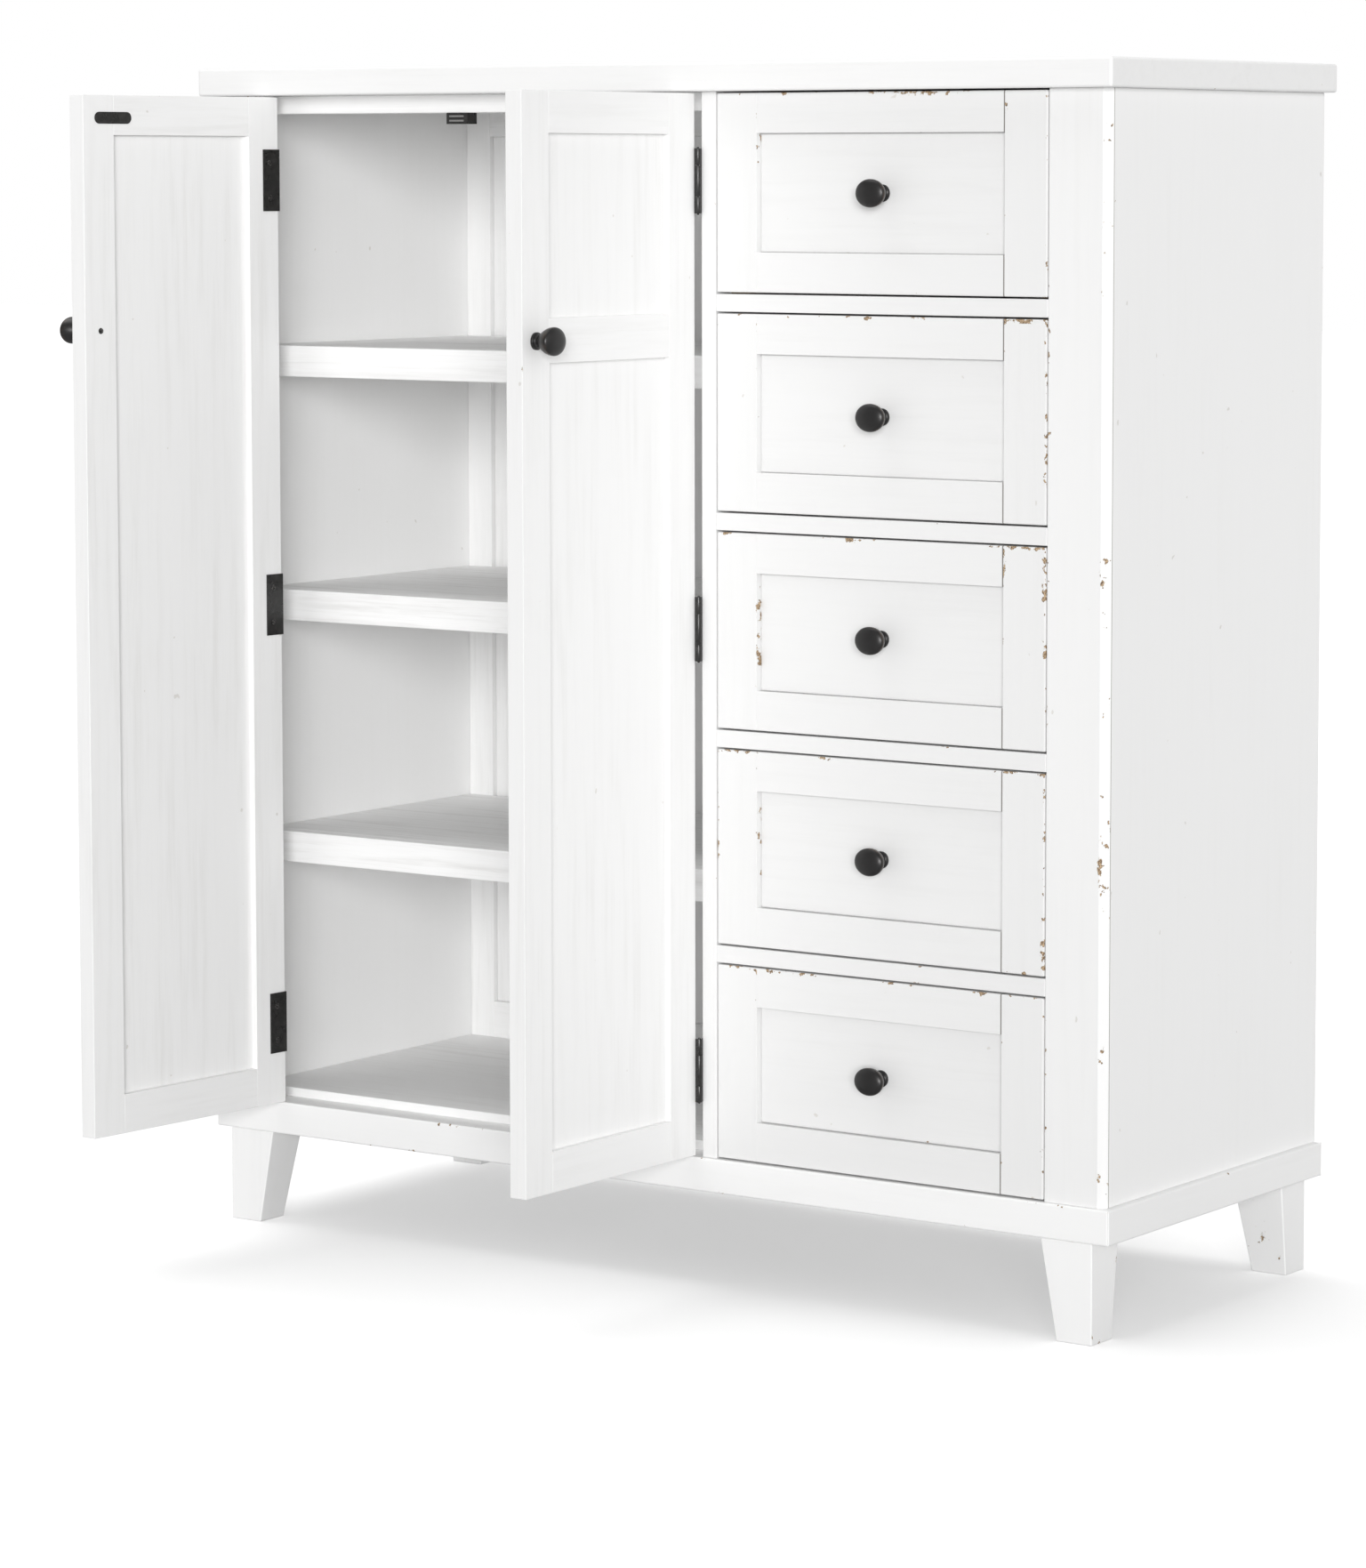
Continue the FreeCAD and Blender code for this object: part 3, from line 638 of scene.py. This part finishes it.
def knobOutline(radius, projection):
    # half outline of a bell-shaped knob, from its foot to its crown
    lip = knob["baseLip"]
    points = [(0, 0), (knob["baseRadius"], 0)]
    for step in range(5):
        turn = math.radians(90 * step / 4)
        points.append((knob["baseRadius"] - lip * (1 - math.cos(turn)),
                       knob["baseHeight"] - lip * (1 - math.sin(turn))))
    points.append((knob["neckRadius"] + 0.5 * mm, knob["baseHeight"] + 0.5 * mm))
    points.append((knob["neckRadius"], knob["baseHeight"] + 1.2 * mm))
    for step in range(15):
        share = step / 14
        points.append((knob["neckRadius"] + (radius - knob["neckRadius"])
                       * math.sin(share * math.pi / 2),
                       knob["neckHeight"] + (knob["rimHeight"] - knob["neckHeight"]) * share))
    for step in range(1, 17):
        turn = math.radians(90 * step / 16)
        points.append((radius * math.cos(turn) ** knob["crown"] if step < 16 else 0,
                       knob["rimHeight"] + (projection - knob["rimHeight"]) * math.sin(turn)))
    return points


def makeKnob(body, node):
    low, high = min(solidBoxes(node), key=lambda box: box[0].x - box[1].x)
    size = high - low
    stretch = size.x / size.z - 1
    shape = bmesh.new()
    rimLayer = shape.verts.layers.float.new("rim")
    outline = [shape.verts.new((r, 0, z)) for r, z in knobOutline(size.z / 2, size.y)]
    edges = [shape.edges.new(pair) for pair in zip(outline, outline[1:])]
    bmesh.ops.spin(shape, geom=outline + edges, axis=upright, cent=(0, 0, 0),
                   steps=knob["turns"], angle=math.radians(360))
    bmesh.ops.remove_doubles(shape, verts=shape.verts, dist=0.02 * mm)
    bmesh.ops.recalc_face_normals(shape, faces=shape.faces)
    ovalSpan = knob["rimHeight"] - knob["ovalStart"]
    for vertex in shape.verts:
        reach = math.hypot(vertex.co.x, vertex.co.y) / (size.z / 2)
        vertex[rimLayer] = max(0, (reach - 0.85) / 0.15)
        share = min(max((vertex.co.z - knob["ovalStart"]) / ovalSpan, 0), 1)
        vertex.co.x *= 1 + stretch * share ** knob["ovalPace"]
    place = Matrix.Translation(((low.x + high.x) / 2, high.y, (low.z + high.z) / 2))
    bmesh.ops.transform(shape, matrix=place @ Matrix.Rotation(math.radians(90), 4, "X"),
                        verts=shape.verts)
    for face in shape.faces:
        face.smooth = True
    mesh = bpy.data.meshes.new(node + "_turned")
    shape.to_mesh(mesh)
    shape.free()
    mesh.set_sharp_from_angle(angle=math.radians(50))
    return finishPiece(node + "_turned", mesh, body, "knob_bronze", replaced=node)


for body in doorBodies + tuple(drawerBodies):
    makeKnob(body, body + "_knob")
print("knobs turned:", len(doorBodies) + len(drawerBodies))


metalEase = {"width": 0.3 * mm, "steps": 2, "sharp": 50}


def easeMetal(shape):
    easeEdges(shape, sharpEdges(shape, metalEase["sharp"]), metalEase["width"],
              metalEase["steps"])


def easedMetal(node):
    # a metal node with its sharp edges broken
    body = nodeBody[node]
    shape = cleanCopy(node, shutMoves[body])
    easeMetal(shape)
    return pieceOf(shape, node + "_eased", body, "black_metal", replaced=node)


for node in ("left_door_hinge_leaves", "right_door_hinge_leaves", "hinge_frame_leaves",
             "hinge_pins"):
    easedMetal(node)


strikePlate = {"cornerSteps": 10}


def makeStrikePlate(node):
    # a flat plate with fully rounded ends
    low, high = solidBoxes(node)[0]
    radius = (high.z - low.z) / 2
    steps = strikePlate["cornerSteps"]
    middle = (low.z + high.z) / 2
    outline = []
    for centre, start in ((high.x - radius, -90), (low.x + radius, 90)):
        for step in range(steps + 1):
            turn = math.radians(start + 180 * step / steps)
            outline.append((centre + radius * math.cos(turn), low.y,
                            middle + radius * math.sin(turn)))
    shape = bmesh.new()
    face = shape.faces.new([shape.verts.new(point) for point in outline])
    grown = bmesh.ops.extrude_face_region(shape, geom=[face])["geom"]
    bmesh.ops.translate(shape, vec=(0, high.y - low.y, 0),
                        verts=[item for item in grown if isinstance(item, bmesh.types.BMVert)])
    bmesh.ops.recalc_face_normals(shape, faces=shape.faces)
    easeMetal(shape)
    return pieceOf(shape, node + "_rounded", nodeBody[node], "black_metal", replaced=node)


for body in doorBodies:
    makeStrikePlate(body + "_strike_plate")


catch = {"poleHeight": 4 * mm}


def makeCatches(node):
    # black housings with two bright pole plates each
    shape = cleanCopy(node, shutMoves[nodeBody[node]])
    easeMetal(shape)
    steelFaces = []
    for group in solidsOf(shape):
        low, high = span(group)
        if high.z - low.z < catch["poleHeight"]:
            steelFaces += {face for vertex in group for face in vertex.link_faces}
    poles = shape.copy()
    poles.faces.ensure_lookup_table()
    shape.faces.index_update()
    steel = {face.index for face in steelFaces}
    bmesh.ops.delete(poles, geom=[face for face in poles.faces if face.index not in steel],
                     context="FACES")
    bmesh.ops.delete(shape, geom=list(set(steelFaces)), context="FACES")
    pieceOf(shape, node + "_housings", nodeBody[node], "black_metal", replaced=node)
    pieceOf(poles, node + "_poles", nodeBody[node], "black_metal", finish="pole_steel")


makeCatches("magnetic_catches")


screw = {"sides": 24, "headTaper": 0.86, "slotLength": 0.62, "slotWidth": 0.15,
         "slotDepth": 0.7, "shankRadius": 1.6 * mm}


def screwTree():
    # cross-slotted screws standing on points, each head facing along the point's own arrow
    group = bpy.data.node_groups.new("screwSet", "GeometryNodeTree")
    face = group.interface
    face.new_socket("Places", in_out="INPUT", socket_type="NodeSocketGeometry")
    sockets = {}
    for name, value in (("HeadRadius", 4 * mm), ("HeadHeight", 1 * mm),
                        ("ShankRadius", screw["shankRadius"])):
        item = face.new_socket(name, in_out="INPUT", socket_type="NodeSocketFloat")
        item.default_value = value
        sockets[name] = item.identifier
    face.new_socket("Screws", in_out="OUTPUT", socket_type="NodeSocketGeometry")
    wiring = Wiring(group)
    given = wiring.add("NodeGroupInput")
    radius, height = given.out("HeadRadius"), given.out("HeadHeight")
    head = wiring.add("GeometryNodeMeshCone", None, {
        "Vertices": screw["sides"], "Radius Top": radius * screw["headTaper"],
        "Radius Bottom": radius, "Depth": height}).out("Mesh")
    cutters = []
    for turn in (0, 90):
        size = wiring.add("ShaderNodeCombineXYZ", None, {
            0: radius * (2 * screw["slotLength"]), 1: radius * (2 * screw["slotWidth"]),
            2: height * (2 * screw["slotDepth"])}).out()
        bar = wiring.add("GeometryNodeMeshCube", None, {"Size": size}).out("Mesh")
        lift = wiring.add("ShaderNodeCombineXYZ", None, {2: height}).out()
        cutters.append(wiring.add("GeometryNodeTransform", None, {
            "Geometry": bar, "Translation": lift,
            "Rotation": (0, 0, math.radians(turn))}).out())
    carved = wiring.add("GeometryNodeMeshBoolean", {"operation": "DIFFERENCE"}, {"Mesh 1": head})
    for cutter in cutters:
        wiring.tree.links.new(cutter.socket, carved.node.inputs["Mesh 2"])
    shank = wiring.add("GeometryNodeMeshCylinder", None, {
        "Vertices": 12, "Radius": given.out("ShankRadius"), "Depth": 1.0}).out("Mesh")
    shank = wiring.add("GeometryNodeTransform", None, {
        "Geometry": shank, "Translation": (0, 0, -0.5)}).out()
    facing = wiring.add("GeometryNodeInputNamedAttribute", {"data_type": "FLOAT_VECTOR"},
                        {"Name": "facing"}).out()
    length = wiring.add("GeometryNodeInputNamedAttribute", {"data_type": "FLOAT"},
                        {"Name": "shankLength"}).out()
    spin = wiring.add("FunctionNodeRandomValue", {"data_type": "FLOAT"}, {
        "Min": 0.0, "Max": 1.5, "Seed": 7})
    turned = wiring.add("ShaderNodeCombineXYZ", None, {
        2: spin.out(1)}).out()
    turned = wiring.add("FunctionNodeEulerToRotation", None, {0: turned}).out()
    aimed = wiring.add("FunctionNodeAlignRotationToVector", {"axis": "Z"}, {
        "Rotation": turned, "Vector": facing}).out()
    heads = wiring.add("GeometryNodeInstanceOnPoints", None, {
        "Points": given.out("Places"), "Instance": carved.out("Mesh"), "Rotation": aimed}).out()
    stretch = wiring.add("ShaderNodeCombineXYZ", None, {0: 1.0, 1: 1.0, 2: length}).out()
    shanks = wiring.add("GeometryNodeInstanceOnPoints", None, {
        "Points": given.out("Places"), "Instance": shank, "Rotation": aimed,
        "Scale": stretch}).out()
    both = wiring.add("GeometryNodeJoinGeometry")
    for part in (heads, shanks):
        wiring.tree.links.new(part.socket, both.node.inputs[0])
    real = wiring.add("GeometryNodeRealizeInstances", None, {0: both.out()}).out()
    done = wiring.add("GeometryNodeSetMaterial", None, {
        "Geometry": real, "Material": finishes["screw_coat"]}).out()
    wiring.add("NodeGroupOutput", None, {0: done})
    return group, sockets


screwGroup, screwSockets = screwTree()


def makeScrews(name, body, places, headRadius, headHeight, replaced=None):
    # places are (point under the head, direction it faces, shank length), doors shut
    mesh = bpy.data.meshes.new(name + "_places")
    mesh.from_pydata([tuple(point) for point, facing, length in places], [], [])
    mesh.attributes.new("facing", "FLOAT_VECTOR", "POINT")
    mesh.attributes.new("shankLength", "FLOAT", "POINT")
    for index, (point, facing, length) in enumerate(places):
        mesh.attributes["facing"].data[index].vector = facing
        mesh.attributes["shankLength"].data[index].value = length
    holder = bpy.data.objects.new(name + "_places", mesh)
    bpy.context.scene.collection.objects.link(holder)
    screws = holder.modifiers.new("screws", "NODES")
    screws.node_group = screwGroup
    screws[screwSockets["HeadRadius"]] = headRadius
    screws[screwSockets["HeadHeight"]] = headHeight
    screws[screwSockets["ShankRadius"]] = min(screw["shankRadius"], headRadius * 0.5)
    ready = holder.evaluated_get(bpy.context.evaluated_depsgraph_get())
    made = bpy.data.meshes.new_from_object(ready)
    holder.modifiers.clear()
    bpy.data.objects.remove(holder)
    made.name = name
    return finishPiece(name, made, body, "black_metal", "screw_coat", replaced)


backwards = Vector((0, 1, 0))
hingeScrew = {"headRadius": 3.4 * mm, "headHeight": 0.9 * mm, "shank": 13 * mm,
              "setback": 10.5 * mm, "headFit": 0.85, "frameHead": 0.8 * mm,
              "leafRise": 1.2 * mm, "longest": 16 * mm}


def fromBehind(box, headHeight):
    # a screw whose head is at the back of its box
    low, high = box
    point = Vector(((low.x + high.x) / 2, high.y - headHeight, (low.z + high.z) / 2))
    return point, backwards, high.y - headHeight - low.y


for body in doorBodies:
    boxes = solidBoxes(body + "_screws")
    width = boxes[0][1].x - boxes[0][0].x
    makeScrews(body + "_cross_screws", body,
               [fromBehind(box, hingeScrew["headHeight"]) for box in boxes],
               width / 2 * hingeScrew["headFit"], hingeScrew["headHeight"], replaced=body + "_screws")

for body in drawerBodies:
    box = max(solidBoxes(body + "_knob"), key=lambda box: box[0].x - box[1].x)
    makeScrews(body + "_knob_screw", body, [fromBehind(box, hingeScrew["headHeight"])],
               (box[1].x - box[0].x) / 2, hingeScrew["headHeight"])


def frameLeafScrews():
    # two screws in each leaf on the frame, level with the ones in the door's leaf
    places = []
    levels = sorted({round((low.z + high.z) / 2, 4)
                     for low, high in solidBoxes("left_door_screws")
                     if high.y - low.y < hingeScrew["longest"]})
    for low, high in solidBoxes("hinge_frame_leaves"):
        side = 1 if low.x < 0 else -1
        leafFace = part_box("front_stile_left")[1].x if side > 0 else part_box("middle_stile")[0].x
        for level in levels:
            if low.z < level < high.z:
                point = Vector((leafFace + side * hingeScrew["leafRise"],
                                high.y - hingeScrew["setback"], level))
                places.append((point, Vector((side, 0, 0)), hingeScrew["shank"]))
    return places


makeScrews("frame_leaf_screws", "cabinet", frameLeafScrews(), hingeScrew["headRadius"],
           hingeScrew["frameHead"])
print("hardware made")

floorSize = 60.0


def makeFloor():
    half = floorSize / 2
    mesh = bpy.data.meshes.new("studioFloor")
    mesh.from_pydata([(-half, -half, 0), (half, -half, 0), (half, half, 0),
                      (-half, half, 0)], [], [(0, 1, 2, 3)])
    mesh.materials.append(finishes["studio_floor"])
    floor = bpy.data.objects.new("studioFloor", mesh)
    bpy.context.scene.collection.objects.link(floor)


makeFloor()

softLights = {
    "frontSun": {"from": (0.69, -1.0, 0.115), "power": 2.56, "spread": 25},
    "sideSun": {"from": (1.0, -0.12, 0.35), "power": 0.34, "spread": 50},
    "topSun": {"from": (-0.32, 0.05, 1.0), "power": 1.5, "spread": 50},
}
sky = {"glow": 0.37, "backdrop": 1.0}


def makeLights():
    # broad soft suns, and a dim even sky that shows as a white backdrop
    for name, look in softLights.items():
        data = bpy.data.lights.new(name, "SUN")
        data.energy = look["power"]
        data.angle = math.radians(look["spread"])
        light = bpy.data.objects.new(name, data)
        bpy.context.scene.collection.objects.link(light)
        light.rotation_euler = Vector(look["from"]).to_track_quat("Z", "Y").to_euler()
    world = bpy.data.worlds.new("studioSky")
    world.use_nodes = True
    tree = world.node_tree
    tree.nodes["Background"].inputs["Strength"].default_value = sky["glow"]
    tree.nodes["Background"].inputs["Color"].default_value = (1, 1, 1, 1)
    backdrop = tree.nodes.new("ShaderNodeBackground")
    backdrop.inputs["Color"].default_value = (1, 1, 1, 1)
    backdrop.inputs["Strength"].default_value = sky["backdrop"]
    seen = tree.nodes.new("ShaderNodeLightPath")
    either = tree.nodes.new("ShaderNodeMixShader")
    tree.links.new(seen.outputs["Is Camera Ray"], either.inputs[0])
    tree.links.new(tree.nodes["Background"].outputs[0], either.inputs[1])
    tree.links.new(backdrop.outputs[0], either.inputs[2])
    tree.links.new(either.outputs[0], tree.nodes["World Output"].inputs["Surface"])
    bpy.context.scene.world = world
    bpy.context.scene.view_settings.view_transform = "Standard"


makeLights()

camera = {"place": (3.2969, -4.6133, 1.2233), "turn": 34.45, "dip": 5.09, "lens": 117.86,
          "shiftX": -0.06, "shiftY": -0.10, "sensor": 36, "farthest": 100}


def makeCamera():
    data = bpy.data.cameras.new("camera")
    data.lens = camera["lens"]
    data.sensor_width = camera["sensor"]
    data.shift_x = camera["shiftX"]
    data.shift_y = camera["shiftY"]
    data.clip_end = camera["farthest"]
    eye = bpy.data.objects.new("camera", data)
    eye.location = camera["place"]
    eye.rotation_euler = (math.radians(90 - camera["dip"]), 0, math.radians(camera["turn"]))
    bpy.context.scene.collection.objects.link(eye)
    bpy.context.scene.camera = eye


makeCamera()
